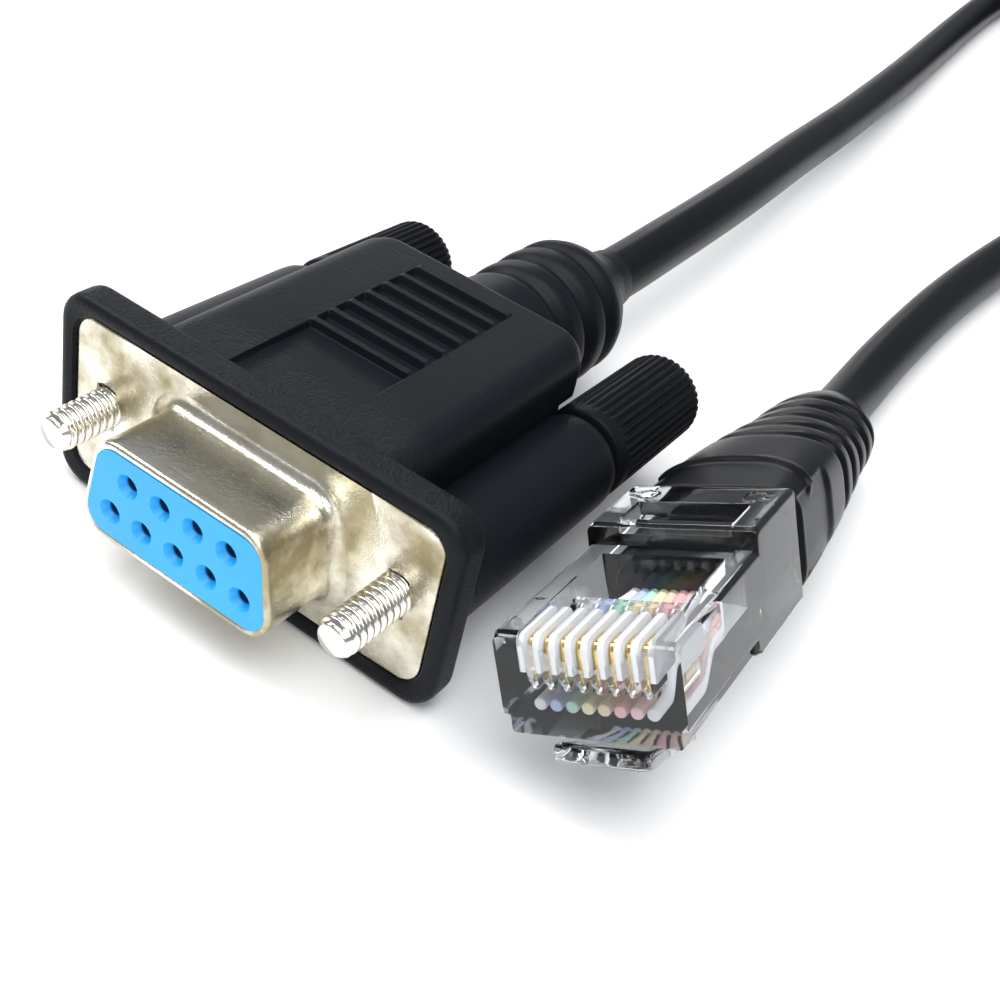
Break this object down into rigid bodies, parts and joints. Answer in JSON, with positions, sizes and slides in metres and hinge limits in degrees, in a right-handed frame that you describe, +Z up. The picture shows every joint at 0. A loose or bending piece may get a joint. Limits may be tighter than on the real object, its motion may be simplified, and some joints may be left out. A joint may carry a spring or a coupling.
{
  "type": "console cable",
  "caption": "Black console cable with a moulded D connector with two thumbscrews at one end and a clear modular plug with a moulded boot at the other.",
  "frame": {"origin": "on the floor, under the middle of the D connector with its hood and strain relief", "axes": "+Z up from the floor it lies on, -Y the way the D connector faces, +X towards the modular plug"},
  "size_m": [0.0686, 0.277, 0.0157],
  "materials": {
    "black_moulding": "fine grained, satin",
    "nickel_plate": "nickel plated, satin",
    "screw_steel": "nickel plated, bright",
    "blue_insulator": "smooth",
    "gold_plate": "gold plated, bright",
    "clear_plastic": "clear, moulded",
    "cable_jacket": "smooth, satin",
    "tie_plastic": "smooth",
    "white_wire": "smooth",
    "blue_wire": "smooth",
    "green_wire": "smooth",
    "yellow_wire": "smooth",
    "orange_wire": "smooth",
    "red_wire": "smooth",
    "brown_wire": "smooth",
    "grey_wire": "smooth"
  },
  "bodies": {
    "cable": {"hood": "black_moulding", "shell": "nickel_plate", "insulator": "blue_insulator", "socket_contact_1": "gold_plate", "socket_contact_2": "gold_plate", "socket_contact_3": "gold_plate", "socket_contact_4": "gold_plate", "socket_contact_5": "gold_plate", "socket_contact_6": "gold_plate", "socket_contact_7": "gold_plate", "socket_contact_8": "gold_plate", "socket_contact_9": "gold_plate", "plug_housing": "clear_plastic", "plug_blade_1": "gold_plate", "plug_blade_2": "gold_plate", "plug_blade_3": "gold_plate", "plug_blade_4": "gold_plate", "plug_blade_5": "gold_plate", "plug_blade_6": "gold_plate", "plug_blade_7": "gold_plate", "plug_blade_8": "gold_plate", "plug_wire_1": "white_wire", "plug_wire_2": "blue_wire", "plug_wire_3": "green_wire", "plug_wire_4": "yellow_wire", "plug_wire_5": "orange_wire", "plug_wire_6": "red_wire", "plug_wire_7": "brown_wire", "plug_wire_8": "grey_wire", "cable_jacket_end": "cable_jacket", "plug_boot": "black_moulding", "cable_hood_run": "cable_jacket", "cable_plug_run": "cable_jacket", "cable_coil": "cable_jacket", "coil_tie": "tie_plastic"},
    "left_jackscrew": {"left_screw": "screw_steel", "left_thumb_head": "black_moulding"},
    "right_jackscrew": {"right_screw": "screw_steel", "right_thumb_head": "black_moulding"},
    "latch": {"plug_latch": "clear_plastic"}
  },
  "joints": [
    {"name": "left_jackscrew_turn", "type": "hinge", "parent": "cable", "child": "left_jackscrew", "pos_m": [-0.01249, 0, 0.00773], "axis": [0, 1, 0], "continuous": true},
    {"name": "right_jackscrew_turn", "type": "hinge", "parent": "cable", "child": "right_jackscrew", "pos_m": [0.01249, 0, 0.00773], "axis": [0, 1, 0], "continuous": true},
    {"name": "latch_press", "type": "hinge", "parent": "cable", "child": "latch", "pos_m": [0.02863, -0.01977, 0.00592], "axis": [0.8822, 0.1359, 0.4508], "range_deg": [0, 10], "stiffness_Nm_per_rad": 0.6}
  ]
}
